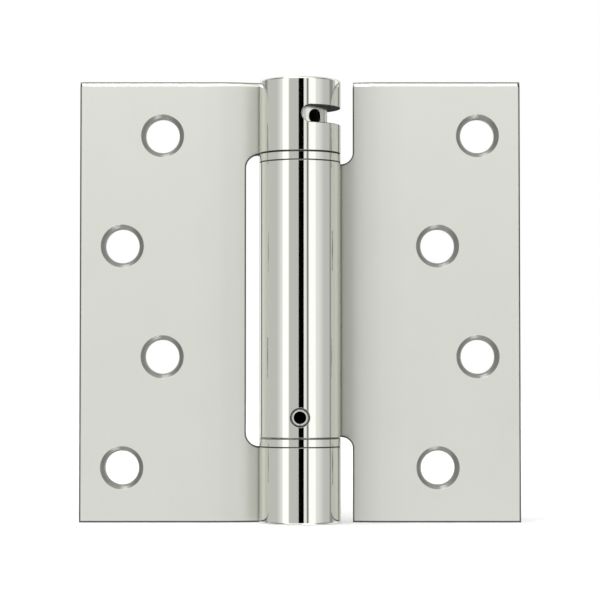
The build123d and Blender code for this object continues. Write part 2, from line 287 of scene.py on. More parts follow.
class RolledSheet:
    """Sheet of a leaf that reaches to -X: flat plate, swage bent backwards, knuckle rolled about Z.

    A place in it is (s, depth): s runs along the middle of the sheet from the leaf's outer edge, and depth is
    counted from the front face. With t the thickness, R the swage radius and m the roll's middle radius,
    (x, y) is
    flat:  (s - reach, face + depth)
    swage: centre + (R + t/2 - depth) (sin p, -cos p), with p = (s - swage_run) / R
    roll:  (m - t/2 + depth) (cos a, sin a), with a = roll_start - (s - roll_run) / m
    """

    def __init__(self, sizes, crook_shade):
        self.sizes = sizes
        self.crook_shade = crook_shade
        self.thickness = sizes.thickness
        self.face = sizes.closed_gap / 2
        self.bend_radius = sizes.swage_radius
        self.middle = BARREL_RADIUS - self.thickness / 2
        out = self.middle + self.bend_radius
        centre_y = self.face + self.thickness / 2 + self.bend_radius
        self.centre = np.array([-math.sqrt(out**2 - centre_y**2), centre_y])
        self.roll_start = math.atan2(centre_y, self.centre[0])
        reach = self.bend_radius + self.thickness / 2 + sizes.seam_gap
        opening = math.acos((BARREL_RADIUS**2 + out**2 - reach**2) / (2 * BARREL_RADIUS * out))
        self.swage_run = LEAF_REACH + self.centre[0]
        self.roll_run = self.swage_run + self.bend_radius * (self.roll_start - math.pi / 2)
        self.end_run = self.roll_run + self.middle * (2 * math.pi - opening)
        self.columns = np.concatenate(
            [
                np.arange(FLAT_STEP, self.swage_run - FLAT_STEP / 2, FLAT_STEP),
                np.linspace(self.swage_run, self.roll_run, SWAGE_STEPS + 1)[:-1],
                np.linspace(self.roll_run, self.end_run, ROLL_STEPS + 1)[:-1],
            ]
        )

    def place(self, s, depth):
        """Points, depth directions and run directions, as (x, y) arrays."""
        flat = np.stack([s - LEAF_REACH, self.face + depth], -1)
        p = (s - self.swage_run) / self.bend_radius
        bent = np.stack([np.sin(p), -np.cos(p)], -1)
        swage = self.centre + (self.bend_radius + self.thickness / 2 - depth)[..., None] * bent
        a = self.roll_start - (s - self.roll_run) / self.middle
        rolled = np.stack([np.cos(a), np.sin(a)], -1)
        roll = (self.middle - self.thickness / 2 + depth)[..., None] * rolled
        zones = [(s <= self.swage_run)[..., None], (s <= self.roll_run)[..., None]]
        along_x = np.broadcast_to([1.0, 0.0], flat.shape)
        along_y = np.broadcast_to([0.0, 1.0], flat.shape)
        along_swage = np.stack([np.cos(p), np.sin(p)], -1)
        along_roll = np.stack([np.sin(a), -np.cos(a)], -1)
        points = np.select(zones, [flat, swage], roll)
        inward = np.select(zones, [along_y, -bent], rolled)
        onward = np.select(zones, [along_x, along_swage], along_roll)
        return points, inward, onward

    def run_at_x(self, x):
        """s of the sheet's middle at a given x, on the flat or the swage."""
        bent = np.clip((x - self.centre[0]) / self.bend_radius, 0.0, 1.0)
        return LEAF_REACH + np.minimum(x, self.centre[0]) + self.bend_radius * np.arcsin(bent)

    def run_at_turn(self, turn):
        """s of the rolled knuckle at an angle counted from the front towards +X."""
        return self.roll_run + self.middle * (self.roll_start - (turn - math.pi / 2))

    def polish(self, s):
        """0 on the flat and 1 on the roll."""
        return smooth_step(self.roll_run - POLISH_FADE, self.roll_run + POLISH_FADE, s)

    def crook(self, s):
        """Painted shade on the front face beside the barrel, rising towards the barrel's side and fading out
        at it.
        """
        side = self.run_at_x(-BARREL_RADIUS)
        fading = 1 - smooth_step(side - CROOK_FADE, side + CROOK_FADE, s)
        return self.crook_shade * smooth_step(self.swage_run - CROOK_LEAD, side, s) * fading


def with_ends(inner, start, end, support):
    """Stops from start up to, but without, end: a support stop beside each end, and inner stops between."""
    way = 1.0 if end > start else -1.0
    inner = np.sort(inner)[:: int(way)]
    first, last = start + way * support, end - way * support
    between = inner[(way * (inner - first) > support / 2) & (way * (last - inner) > support / 2)]
    return np.concatenate([[start, first], between, [last]])


def mitre(before, after, width_before, width_after):
    """Moves that carry the stops inwards by the widths of the two edges that meet there."""
    cross = before[:, 0] * after[:, 1] - before[:, 1] * after[:, 0]
    straight = np.abs(cross) < MITRE_SINE
    safe = np.where(straight, 1.0, cross)
    x = (width_after * before[:, 1] - width_before * after[:, 1]) / safe
    z = (width_before * after[:, 0] - width_after * before[:, 0]) / safe
    along = -(before + after) / 2 * ((width_before + width_after) / 2)[:, None]
    return np.where(straight[:, None], along, np.stack([x, z], -1))


class Rim:
    """A closed edge of the sheet, with the sheet on its left, and the shape of the edge from front to back.

    Its stops are (s, z), where s may move with depth: s = centre + m asin(offset / radius) on a hole drilled
    in the roll. The edge runs in eight rings from the front face to the back face: a rounding or, where flat
    is 1, a bevel of width inset and depth down, the straight wall, and a rounding of the back edge.
    """

    def __init__(self, sheet, edge, tints, turned=EDGE_TURNED):
        self.sheet, self.tints, self.turned = sheet, tints, turned
        self.shape = {"inset": edge, "down": edge, "flat": 0.0, "back": edge}
        self.parts, self.shades = [], []

    def add(self, s, z, offset=0.0, tints=None, **shape):
        """Adds stops, with the shape and painted shade (tints) of the edge that starts at each of them."""
        s = np.asarray(s, float)
        rows = np.broadcast_arrays(s, offset, z, *{**self.shape, **shape}.values())
        self.parts.append(np.stack(rows, -1))
        self.shades.append(np.tile(self.tints if tints is None else tints, (s.size, 1)))
        return self

    def level(self, start, end, z, **edge):
        """Adds an edge at one level."""
        support = self.sheet.sizes.edge_round * LEAF_SUPPORT
        return self.add(with_ends(self.sheet.columns, start, end, support), z, **edge)

    def upright(self, s, low, high):
        """Adds an edge at one place along the sheet."""
        support = max(self.sheet.sizes.edge_round, self.sheet.sizes.top_bevel) * LEAF_SUPPORT
        inner = np.linspace(low, high, max(int(abs(high - low) / FLAT_STEP), 1) + 1)[1:-1]
        z = with_ends(inner, low, high, support)
        return self.add(np.full(z.shape, s), z)

    def corner(self, x, z, radius, first, last):
        """Adds a round corner about (x, z), its angles in degrees."""
        turn = np.radians(np.linspace(first, last, CORNER_STEPS + 1)[:-1])
        return self.add(self.sheet.run_at_x(x + radius * np.cos(turn)), z + radius * np.sin(turn))

    def hole(self, s, z, radius, drilled=False, **shape):
        """Adds a round hole, either cut in the flat or drilled straight through the roll."""
        turn = -np.linspace(0.0, 2 * math.pi, HOLE_STEPS + 1)[:-1]
        across, up = radius * np.cos(turn), radius * np.sin(turn)
        if drilled:
            return self.add(np.full(turn.shape, s), z + up, across, **shape)
        return self.add(s + across, z + up, **shape)

    def cut_out(self, clearance, radius, low, high):
        """Adds a cut-out beside the barrel, with a round corner and a joint where it meets a knuckle."""
        sheet = self.sheet
        # A joint's walls carry painted shade
        joint = {"back": sheet.sizes.joint_round, "tints": JOINT_TINTS}
        x = -BARREL_RADIUS - clearance
        run, corner_run = sheet.run_at_x(x), sheet.run_at_x(x + radius)
        if low > LEAF_LOW.z:
            self.level(sheet.end_run, corner_run, low, **joint)
            self.corner(x + radius, low + radius, radius, -90, -180)
            low += radius
        if high == LEAF_HIGH.z:
            return self.upright(run, low, high)
        self.upright(run, low, high - radius)
        self.corner(x + radius, high - radius, radius, 180, 90)
        return self.level(corner_run, sheet.end_run, high, **joint)

    def bevelled_top(self, start):
        """Adds the bevelled top edge of the leaf from a start, and its outer edge, which closes the rim."""
        bevel = self.sheet.sizes.top_bevel
        # The top bevel carries a painted dark line at its foot
        self.level(start, 0.0, LEAF_HIGH.z, inset=bevel, down=bevel, flat=1.0, tints=BEVEL_TINTS)
        return self.upright(0.0, LEAF_HIGH.z, LEAF_LOW.z)

    def rings(self):
        """s, z and depth of the eight rings by stop, the outward direction at each stop, and the parts of the
        rings' normals that point outward and along the depth."""
        sheet = self.sheet
        centre, offset, z, inset, down, flat, behind = np.concatenate(self.parts).T
        s = centre + sheet.middle * np.arcsin(offset / sheet.middle)
        ahead = unit(np.stack([np.roll(s, -1) - s, np.roll(z, -1) - z], -1))
        after = np.stack([ahead[:, 1], -ahead[:, 0]], -1)
        before = np.roll(after, 1, axis=0)
        outward = unit(before + after)
        front_in = mitre(before, after, np.roll(inset, 1), inset)
        back_in = mitre(before, after, np.roll(behind, 1), behind)
        down, flat, behind = (np.maximum(row, np.roll(row, 1)) for row in (down, flat, behind))

        turn = np.linspace(0.0, math.pi / 2, ROUNDING_RINGS)[:, None]
        lean = np.hypot(inset, down)
        line = np.minimum(BEVEL_LINE / lean, LINE_LIMIT)
        none, full = np.zeros_like(s), np.ones_like(s)
        straight = np.stack([full, 1 - HEAD_SHARE * line, line, none])
        bevel_out = np.stack([none, down / lean, down / lean, full])
        bevel_in = np.stack([-full, -inset / lean, -inset / lean, none])
        share = flat * straight + (1 - flat) * (1 - np.sin(turn))
        sunk = down * (flat * (1 - straight) + (1 - flat) * (1 - np.cos(turn)))
        out_part = flat * bevel_out + (1 - flat) * np.sin(turn)
        in_part = flat * bevel_in - (1 - flat) * np.cos(turn)

        back = turn[::-1]
        moves = np.concatenate([share[..., None] * front_in, (1 - np.sin(back))[..., None] * back_in])
        depth = np.concatenate([sunk, sheet.thickness - behind * (1 - np.cos(back))])
        out_part = np.concatenate([out_part, np.sin(back) * full])
        in_part = np.concatenate([in_part, np.cos(back) * full])
        radius = sheet.middle - sheet.thickness / 2 + depth
        s_rings = centre + sheet.middle * np.arcsin(offset / radius) + moves[..., 0]
        return s_rings, z + moves[..., 1], depth, outward, out_part, in_part


def inside(points, loops):
    """Whether points lie inside an odd number of closed loops."""
    odd = np.zeros(len(points), bool)
    for loop in loops:
        a, b = loop, np.roll(loop, -1, axis=0)
        spans = (a[:, 1] > points[:, 1:]) != (b[:, 1] > points[:, 1:])
        rise = np.where(b[:, 1] == a[:, 1], 1.0, b[:, 1] - a[:, 1])
        cross = a[:, 0] + (points[:, 1:] - a[:, 1]) * (b[:, 0] - a[:, 0]) / rise
        odd ^= (np.count_nonzero(spans & (points[:, :1] < cross), axis=1) % 2).astype(bool)
    return odd


def clear_of(points, loops, margin):
    """Whether points keep a margin from the edges of closed loops."""
    near = np.full(len(points), np.inf)
    for loop in loops:
        way = np.roll(loop, -1, axis=0) - loop
        gap = points[:, None] - loop
        share = np.clip((gap * way).sum(-1) / (way**2).sum(-1), 0.0, 1.0)
        near = np.minimum(near, np.linalg.norm(gap - share[..., None] * way, axis=-1).min(1))
    return near > margin


def fill(loops, points):
    """Triangles between closed loops over their stops and the given points, as an array of indices."""
    corners = np.concatenate([*loops, points]) / MM
    edges, start = [], 0
    for loop in loops:
        index = np.arange(start, start + len(loop))
        edges.append(np.stack([index, np.roll(index, -1)], -1))
        start += len(loop)
    made, _, triangles, sources, *_ = delaunay_2d_cdt(
        corners.tolist(), np.concatenate(edges).tolist(), [], 0, POINT_GAP_MM
    )
    if len(made) != len(corners):
        raise RuntimeError("the sheet's edges cross or touch")
    triangles = np.array(sources)[:, 0][np.array(triangles)]
    middles = corners[triangles].mean(1) * MM
    return triangles[inside(middles, loops)]


def drop(kept, name):
    """Removes what an earlier build left under a name."""
    old = kept.get(name)
    if old is not None:
        kept.remove(old)


def new_piece(name, points, faces, normals, **values):
    """Object from arrays: points, a list of face arrays, and a normal and named values for each point."""
    drop(bpy.data.objects, name)
    points, normals = points.reshape(-1, 3), normals.reshape(-1, 3)
    mesh = bpy.data.meshes.new(name)
    corners = np.concatenate([face.ravel() for face in faces]).astype(np.int32)
    counts = np.concatenate([np.full(len(face), face.shape[1]) for face in faces])
    mesh.vertices.add(len(points))
    mesh.vertices.foreach_set("co", points.astype(np.float32).ravel())
    mesh.loops.add(len(corners))
    mesh.loops.foreach_set("vertex_index", corners)
    mesh.polygons.add(len(counts))
    mesh.polygons.foreach_set("loop_start", (np.cumsum(counts) - counts).astype(np.int32))
    mesh.update(calc_edges=True)
    if mesh.validate():
        raise RuntimeError(f"{name} has faulty faces")
    mesh.shade_smooth()
    mesh.normals_split_custom_set_from_vertices(normals.astype(np.float32))
    for label, value in values.items():
        kind, field = ("FLOAT", "value") if value.ndim == 1 else ("FLOAT_VECTOR", "vector")
        layer = mesh.attributes.new(label, kind, "POINT")
        layer.data.foreach_set(field, value.astype(np.float32).ravel())
    piece = bpy.data.objects.new(name, mesh)
    bpy.context.scene.collection.objects.link(piece)
    return piece


def sheet_piece(name, sheet, rims, mirrored):
    """Leaf from its outline and holes: walls of each rim, and the front and back faces between the rims."""
    parts, faces, edges, start = [], [], [], 0
    for rim in rims:
        s, z, depth, outward, out_part, in_part = rim.rings()
        place, inward, onward = sheet.place(s, depth)
        beside, out, into = outward[:, :1] * onward, out_part[..., None], in_part[..., None]
        normal = with_z(out * beside + into * inward, out_part * outward[:, 1])
        slope = with_z(out * inward - into * beside, -in_part * outward[:, 1])
        # Painted shade on the rim's rings; the front ring also takes the crook's painted shade
        shade = np.concatenate(rim.shades).T.copy()
        shade[0] = np.maximum(shade[0], sheet.crook(s[0]))
        lathed = np.broadcast_to(rim.turned[:, None], s.shape)
        parts.append((with_z(place, z), normal, slope, sheet.polish(s), shade, lathed))
        index = np.arange(s.size).reshape(s.shape) + start
        following = np.roll(index, -1, axis=1)
        wall = np.stack([index[:-1], index[1:], following[1:], following[:-1]], -1)
        faces.append(wall.reshape(-1, 4))
        edges.append((np.stack([s, z], -1), index))
        start += s.size

    rows = np.arange(LEAF_LOW.z + ROW_STEP, LEAF_HIGH.z, ROW_STEP)
    grid = np.stack(np.meshgrid(sheet.columns, rows), -1).reshape(-1, 2)
    sparse = np.arange(len(grid)) // len(sheet.columns) % FLAT_ROW_EVERY == 0
    grid = grid[sparse | (grid[:, 0] > sheet.swage_run - FLAT_STEP)]
    for ring, depth, sign in ((0, 0.0, -1), (-1, sheet.thickness, 1)):
        loops = [stops[ring] for stops, _ in edges]
        rim_index = [index[ring] for _, index in edges]
        kept = grid[inside(grid, loops)]
        kept = kept[clear_of(kept, loops, GRID_GAP)]
        s, z = kept.T
        place, inward, _ = sheet.place(s, np.full(s.shape, depth))
        none = np.zeros_like(s)
        up = np.tile([0.0, 0.0, 1.0], (len(s), 1))
        # The front face takes the crook's painted shade
        shade = sheet.crook(s) if sign < 0 else none
        parts.append((with_z(place, z), with_z(sign * inward, none), up, sheet.polish(s), shade, none))
        index = np.concatenate([*rim_index, np.arange(start, start + len(s))])
        triangles = index[fill(loops, kept)]
        faces.append(triangles if sign < 0 else triangles[:, ::-1])
        start += len(s)

    columns = list(zip(*parts))
    vectors = [np.concatenate([part.reshape(-1, 3) for part in column]) for column in columns[:3]]
    values = [np.concatenate([part.ravel() for part in column]) for column in columns[3:]]
    if mirrored:
        vectors = [vector * [-1, 1, 1] for vector in vectors]
        faces = [face[:, ::-1] for face in faces]
    points, normals, slope = vectors
    polish, shade, lathed = values
    return new_piece(name, points, faces, normals, slope=slope, polish=polish, shade=shade, turned=lathed)


def screw_rims(sheet, *margins):
    """Rims of a leaf's countersunk holes, in turn at the given margins, from the top."""
    sizes = sheet.sizes
    sunk = sizes.countersink_radius - sizes.hole_radius
    cone = {"inset": sunk, "down": sunk / math.tan(sizes.countersink_angle / 2), "flat": 1.0}
    levels = np.linspace(LEAF_HIGH.z - sizes.hole_end, LEAF_LOW.z + sizes.hole_end, sizes.hole_count)
    rims = []
    for row, level in enumerate(levels):
        # The countersink carries painted shade
        rim = Rim(sheet, sizes.joint_round, COUNTERSINK_TINTS, COUNTERSINK_TURNED)
        rims.append(rim.hole(margins[row % len(margins)], level, sizes.hole_radius, **cone))
    return rims


def pin_rim(sheet, edge):
    """Rim of the roll pin's hole in the front of the barrel, rounded half as far on the inside."""
    # The pin hole's rim carries painted shade
    rim = Rim(sheet, edge, JOINT_TINTS)
    front = sheet.run_at_turn(0.0)
    return rim.hole(front, PIN_LEVEL, PIN_HIGH.x, drilled=True, inset=edge / 2, down=edge / 2)


def window_rim(sheet):
    """Rim of the adjusting window: a slot round the top knuckle with full-round ends."""
    sizes = sheet.sizes
    half = sizes.window_height / 2
    level = LEAF_HIGH.z - sizes.window_from_top
    end_turn = math.asin(half / BARREL_RADIUS)
    right = sheet.run_at_turn(sizes.window_end - end_turn)
    left = sheet.run_at_turn(sizes.window_start + end_turn)
    edge = sizes.joint_round
    columns = sheet.columns[(sheet.columns > right + edge) & (sheet.columns < left - edge)]
    # The window's walls carry painted shade
    rim = Rim(sheet, edge, WINDOW_TINTS)
    for end, inner, first, last, side in (
        (right, columns, 270, 90, half),
        (left, columns[::-1], 90, -90, -half),
    ):
        turn = np.radians(np.linspace(first, last, 2 * CORNER_STEPS + 1)[:-1])
        rim.add(np.full(turn.shape, end), level + half * np.sin(turn), half * np.cos(turn))
        rim.add(np.concatenate([[end], inner]), level + side)
    return rim


def frame_outline(sheet):
    """Rim round the frame leaf: plate, two knuckles, and the cut-out for the spring barrel between them."""
    sizes, end = sheet.sizes, sheet.end_run
    head, foot = LOWER_WASHER_LOW.z, UPPER_WASHER_HIGH.z + sizes.knuckle_play
    stop = sheet.run_at_x(-BARREL_RADIUS - sizes.bevel_stop)
    # Painted shade on the cut edges, and a different painted shade beside the knuckles' ends
    rim = Rim(sheet, sizes.edge_round, EDGE_TINTS)
    rim.level(0.0, stop, LEAF_LOW.z)
    rim.level(stop, end, LEAF_LOW.z, tints=END_TINTS)
    rim.upright(end, LEAF_LOW.z, head)
    rim.cut_out(sizes.frame_notch, sizes.frame_corner, head, foot)
    rim.upright(end, foot, LEAF_HIGH.z)
    rim.level(end, stop, LEAF_HIGH.z, tints=END_TINTS)
    return rim.bevelled_top(stop)


def door_outline(sheet):
    """Rim round the door leaf: plate, spring barrel, and the cut-outs for the knuckles above and below it."""
    sizes = sheet.sizes
    foot, top = LOWER_WASHER_HIGH.z + sizes.knuckle_play, UPPER_WASHER_LOW.z
    notch = sheet.run_at_x(-BARREL_RADIUS - sizes.door_notch)
    # Painted shade on the cut edges
    rim = Rim(sheet, sizes.edge_round, EDGE_TINTS)
    rim.level(0.0, notch, LEAF_LOW.z)
    rim.cut_out(sizes.door_notch, sizes.door_corner, LEAF_LOW.z, foot)
    rim.upright(sheet.end_run, foot, top)
    rim.cut_out(sizes.door_notch, sizes.door_corner, top, LEAF_HIGH.z)
    return rim.bevelled_top(notch)


# Stops that stand for each corner of an eased profile, and which of them bound the cut
EASED_CUT = (0.0, 1.0, 1.0, 0.0)
EASED_STOPS = len(EASED_CUT)


def eased(corners, ease):
    """Profile of a closed polygon with each corner cut back along its two sides, its normals, and its cuts.

    A corner gives four stops: one on the side before it, the two ends of the cut, and one on the side after.
    """
    corners = np.array(corners)
    ahead = unit(np.roll(corners, -1, axis=0) - corners)
    behind = np.roll(ahead, 1, axis=0)
    ways = (-TURNED_SUPPORT * behind, -behind, ahead, TURNED_SUPPORT * ahead)
    stops = np.stack([corners + ease * way for way in ways], 1)
    outward = np.stack([ahead[:, 1], -ahead[:, 0]], -1)
    before = np.roll(outward, 1, axis=0)
    normals = np.stack([before, before, outward, outward], 1)
    return stops.reshape(-1, 2), normals.reshape(-1, 2), np.tile(EASED_CUT, len(corners))


def turned(profile):
    """(r cos v, r sin v, z) for each stop (r, z) of a profile and each angle v, by angle and then by stop."""
    turn = np.linspace(0.0, 2 * math.pi, LATHE_STEPS + 1)[:-1, None]
    radius, level = profile.T
    return np.stack([radius * np.cos(turn), radius * np.sin(turn), level + 0 * turn], -1).reshape(-1, 3)


def turned_faces(index):
    """Faces between neighbouring stops of a turned profile, from point numbers by angle and stop."""
    following = np.roll(index, -1, axis=0)
    sides = [index[:, :-1], following[:, :-1], following[:, 1:], index[:, 1:]]
    return np.stack(sides, -1).reshape(-1, 4)


def turned_ring(name, corners, ease):
    """Ring about Z from the corners of its section, counter-clockwise in (r, z)."""
    profile, normals, cut = eased(corners, ease)
    points = turned(profile)
    index = np.arange(len(points)).reshape(LATHE_STEPS, -1)
    faces = turned_faces(np.concatenate([index, index[:, :1]], 1))
    # Painted shade on the cut corners
    polish, shade = np.ones(len(points)), np.tile(EDGE_SHADE * cut, LATHE_STEPS)
    return new_piece(name, points, [faces], turned(normals), polish=polish, shade=shade)


def turned_disc(name, corners, ease):
    """Disc about Z from its half section's corners, counter-clockwise in (r, z), both ends on the axis."""
    off_axis = slice(EASED_STOPS, -EASED_STOPS)
    profile, normals, cut = (row[off_axis] for row in eased(corners, ease))
    points = turned(profile)
    index = np.arange(len(points)).reshape(LATHE_STEPS, -1)
    following = np.roll(index, -1, axis=0)
    foot, head = np.full(LATHE_STEPS, len(points)), np.full(LATHE_STEPS, len(points) + 1)
    under = np.stack([foot, following[:, 0], index[:, 0]], -1)
    over = np.stack([head, index[:, -1], following[:, -1]], -1)
    points = np.concatenate([points, [[0.0, 0.0, corners[0][1]], [0.0, 0.0, corners[-1][1]]]])
    directions = np.concatenate([turned(normals), [[0.0, 0.0, -1.0], [0.0, 0.0, 1.0]]])
    # Painted shade, half as dark, on the cut corners
    shade = np.concatenate([np.tile(SOFT_EDGE_SHADE * cut, LATHE_STEPS), [0.0, 0.0]])
    faces = [turned_faces(index), under, over]
    return new_piece(name, points, faces, directions, polish=np.ones(len(points)), shade=shade)


def slit_tube(name, corners, ease, slit, level):
    """Tube along Y with a slit below, from the corners of its section, counter-clockwise in (r, y).

    A stop (r, y) is carried to (r sin v, y, level - r cos v), where v runs from one side of the slit round to
    the other: v = w + (2 pi - 2 w) u with w = asin(slit / 2r) and u from 0 to 1.
    """
    profile, normals, cut = eased(corners, ease)
    radius, along = profile.T
    out, ahead = normals.T
    half = np.arcsin(slit / 2 / radius)
    turn = half + (2 * math.pi - 2 * half) * np.linspace(0.0, 1.0, HOLE_STEPS)[:, None]
    points = np.stack([radius * np.sin(turn), along + 0 * turn, level - radius * np.cos(turn)], -1)
    directions = np.stack([out * np.sin(turn), ahead + 0 * turn, -out * np.cos(turn)], -1)
    index = np.arange(turn.size).reshape(turn.shape)
    here, there = index[:-1], index[1:]
    sides = [here, np.roll(here, -1, axis=1), np.roll(there, -1, axis=1), there]
    faces = [np.stack(sides, -1).reshape(-1, 4), index[:1, ::-1], index[-1:]]
    # Painted shade in the bore and, half as dark, on the cut corners
    bore = radius < radius.min() + ease / 2
    shade = np.tile(np.where(bore, BORE_SHADE, SOFT_EDGE_SHADE * cut), HOLE_STEPS)
    return new_piece(name, points, faces, directions, polish=np.ones(index.size), shade=shade)


def emptied(owner):
    """Node tree of a new material or world, with no nodes in it."""
    owner.use_nodes = True
    owner.node_tree.nodes.clear()
    return owner.node_tree


def add_node(tree, kind, inputs=(), **settings):
    """Outputs of a new shader node, its settings made, and its inputs set to values or linked to sockets."""
    node = tree.nodes.new("ShaderNode" + kind)
    for key, value in settings.items():
        setattr(node, key, value)
    for key, value in dict(inputs).items():
        if isinstance(value, bpy.types.NodeSocket):
            tree.links.new(value, node.inputs[key])
        else:
            node.inputs[key].default_value = value
    return node.outputs


def math_node(tree, operation, first, second=0.0):
    """Output of a Math node."""
    return add_node(tree, "Math", {0: first, 1: second}, operation=operation)[0]


def map_range(tree, value, low, high, first=0.0, last=1.0, **settings):
    """Output of a Map Range node, which carries low to first and high to last."""
    inputs = {"Value": value, "From Min": low, "From Max": high, "To Min": first, "To Max": last}
    return add_node(tree, "MapRange", inputs, **settings)[0]


def mix(tree, share, first, second):
    """Output of a Mix node between two values."""
    return add_node(tree, "Mix", {"Factor": share, "A": first, "B": second})[0]


def noise(tree, place, scale, detail):
    """Value of a noise pattern."""
    inputs = {"Vector": place, "Scale": scale, "Detail": detail}
    return add_node(tree, "TexNoise", inputs)["Fac"]


def attribute(tree, name, output="Fac"):
    """A piece's own value at each point."""
    return add_node(tree, "Attribute", attribute_name=name)[output]


def new_group(name, inputs, outputs):
    """Empty shader node group with float inputs and outputs, and its input and output sockets."""
    drop(bpy.data.node_groups, name)
    group = bpy.data.node_groups.new(name, "ShaderNodeTree")
    for way, labels in (("INPUT", inputs), ("OUTPUT", outputs)):
        for label in labels:
            group.interface.new_socket(label, in_out=way, socket_type="NodeSocketFloat")
    return group, group.nodes.new("NodeGroupInput").outputs, group.nodes.new("NodeGroupOutput").inputs


def group_node(tree, name, inputs, **settings):
    """Outputs of a node group placed in a tree, with its own values."""
    return add_node(tree, "Group", inputs, node_tree=bpy.data.node_groups[name], **settings)


def polish_marks():
    """Node group: fine lines left by polishing along Z, and faint clouds, over a piece's own coordinates."""
    outputs = ("Roughness Shift", "Tone", "Height")
    group, given, put = new_group("Polish Marks", ("Lines", "Clouds"), outputs)
    place = add_node(group, "TexCoord")["Object"]
    stretched = add_node(group, "Mapping", {"Vector": place, "Scale": LINE_SCALE})[0]
    lines = noise(group, stretched, 1.0, LINE_DETAIL)
    clouds = noise(group, place, CLOUD_SCALE, CLOUD_DETAIL)
    parts = []
    for pattern, strength in ((lines, given["Lines"]), (clouds, given["Clouds"])):
        centred = math_node(group, "SUBTRACT", pattern, NOISE_MIDDLE)
        parts.append(math_node(group, "MULTIPLY", centred, strength))
    shift = math_node(group, "ADD", *parts)
    tone = math_node(group, "SUBTRACT", 1.0, math_node(group, "ABSOLUTE", shift))
    for label, value in zip(outputs, (shift, tone, lines)):
        group.links.new(value, put[label])


def painted_shade():
    """Node group: painted shade darkens a metal's tone and, near black, takes its sheen away."""
    group, given, put = new_group("Painted Shade", ("Tone", "Shade"), ("Lightness", "Metallic"))
    left = math_node(group, "SUBTRACT", 1.0, given["Shade"])
    group.links.new(math_node(group, "MULTIPLY", given["Tone"], left), put["Lightness"])
    sheen = map_range(group, given["Shade"], SHEEN_SHADE, SHEENLESS_SHADE, 1.0, 0.0)
    group.links.new(sheen, put["Metallic"])


def hole_shade():
    """Node group: painted shade in a turned piece's holes, darker the further they lie under its skin, a
    radius about Z.
    """
    group, given, put = new_group("Hole Shade", ("Skin",), ("Shade",))
    place = add_node(group, "TexCoord")["Object"]
    across = add_node(group, "VectorMath", {0: place, 1: (1.0, 1.0, 0.0)}, operation="MULTIPLY")
    radius = add_node(group, "VectorMath", {0: across[0]}, operation="LENGTH")
    under = math_node(group, "SUBTRACT", given["Skin"], radius["Value"])
    group.links.new(map_range(group, under, HOLE_LIGHT, HOLE_DARK, 0.0, BORE_SHADE), put["Shade"])


def metal(name, tint, rough, lines, clouds, bump, shiny=None, shaded=True, skin=None, spread=None):
    """Metal marked by polishing.

    With shiny, its roughness goes from rough to shiny with the piece's polish. When shaded, it is darkened by
    the piece's painted shade or, with a skin radius, by painted shade in holes under that skin, whose rims
    are rounded. With spread, reflections spread down the slope where the piece is turned.
    """
    drop(bpy.data.materials, name)
    material = bpy.data.materials.new(name)
    tree = emptied(material)
    marks = group_node(tree, "Polish Marks", {"Lines": lines, "Clouds": clouds})
    bumps = {"Height": marks["Height"], "Strength": bump, "Distance": MARK_DEPTH}
    level, lightness, metallic = rough, marks["Tone"], 1.0
    if shiny is not None:
        level = map_range(tree, attribute(tree, "polish"), 0.0, 1.0, rough, shiny)
    if skin is not None:
        rounding = add_node(tree, "Bevel", {"Radius": HOLE_ROUND}, samples=HOLE_ROUND_SAMPLES)
        bumps["Normal"] = rounding[0]
    # Painted shade darkens the tone and takes away the sheen: the piece's own shade, or shade in holes under
    # its skin
    if shaded:
        if skin is None:
            shade = attribute(tree, "shade")
        else:
            shade = group_node(tree, "Hole Shade", {"Skin": skin})["Shade"]
        painted = group_node(tree, "Painted Shade", {"Tone": lightness, "Shade": shade})
        lightness, metallic = painted["Lightness"], painted["Metallic"]
    base = add_node(tree, "VectorMath", {0: tuple(tint), 1: lightness}, operation="MULTIPLY")
    look = {
        "Base Color": base[0],
        "Metallic": metallic,
        "Roughness": math_node(tree, "ADD", level, marks["Roughness Shift"]),
        "Specular IOR Level": 0.0,
        "Normal": add_node(tree, "Bump", bumps)[0],
    }
    if spread is not None:
        slope = attribute(tree, "slope", "Vector")
        slope = add_node(tree, "VectorTransform", {0: slope}, convert_from="OBJECT", convert_to="WORLD")
        look["Tangent"] = slope[0]
        look["Anisotropic"] = math_node(tree, "MULTIPLY", attribute(tree, "turned"), spread)
    shader = add_node(tree, "BsdfPrincipled", look)
    add_node(tree, "OutputMaterial", {"Surface": shader[0]})


# Cards of light and dark round the hinge: azimuth from the front towards the right, half width, lowest and
# highest elevation, softness of the sides (all in degrees), and brightness; a later card covers earlier ones
CARD_ANGLES = ("Centre", "Half Width", "Lowest", "Highest", "Softness")
ROOM_LEVEL = 0.8
CARDS = (
    ("ceiling light", 0, 400, 74, 120, 10, 1.1),
    ("floor reflector", 0, 400, -120, -74, 10, 0.95),
    ("front softbox, above", 0, 42, 11, 62, 4, 1.4),
    ("front softbox, below", 0, 42, -62, -7, 4, 1.02),
    ("dark wall, right", 74, 24, -50, 50, 8, 0.2),
    ("dark wall, left", -74, 24, -50, 50, 8, 0.2),
    ("ceiling light, left end", -60, 40, 64, 86, 6, 7.0),
    ("floor reflector, right end", 60, 40, -86, -64, 6, 5.5),
    ("grey band", 0, 400, -7, 11, 4, 0.58),
    ("left strip light, spill", -50, 10, -12, 16, 24, 0.9),
    ("left strip light", -41, 9, -62, 62, 5, 1.25),
    ("right strip light, spill", 50, 13, -12, 16, 26, 0.87),
    ("right strip light", 35, 10.5, -62, 62, 7, 1.18),
    ("far right strip light", 129, 10, -62, 62, 6, 1.05),
    ("far left strip light", -150, 10, -62, 62, 6, 1.05),
    ("dark panel, right", 100, 7, -50, 50, 6, 0.3),
    ("dark panel, left", -113, 7, -50, 50, 6, 0.3),
    ("dark panel, rear", 175, 5, -50, 50, 4, 0.25),
    ("slit beside the camera", 14.6, 5, -7, 11, 2, 0.95),
    ("thin flag", 21.3, 2.6, -7, 11, 2, 0.24),
    ("camera flag", 3.4, 7.4, -7, 11, 1.2, 0.0),
)


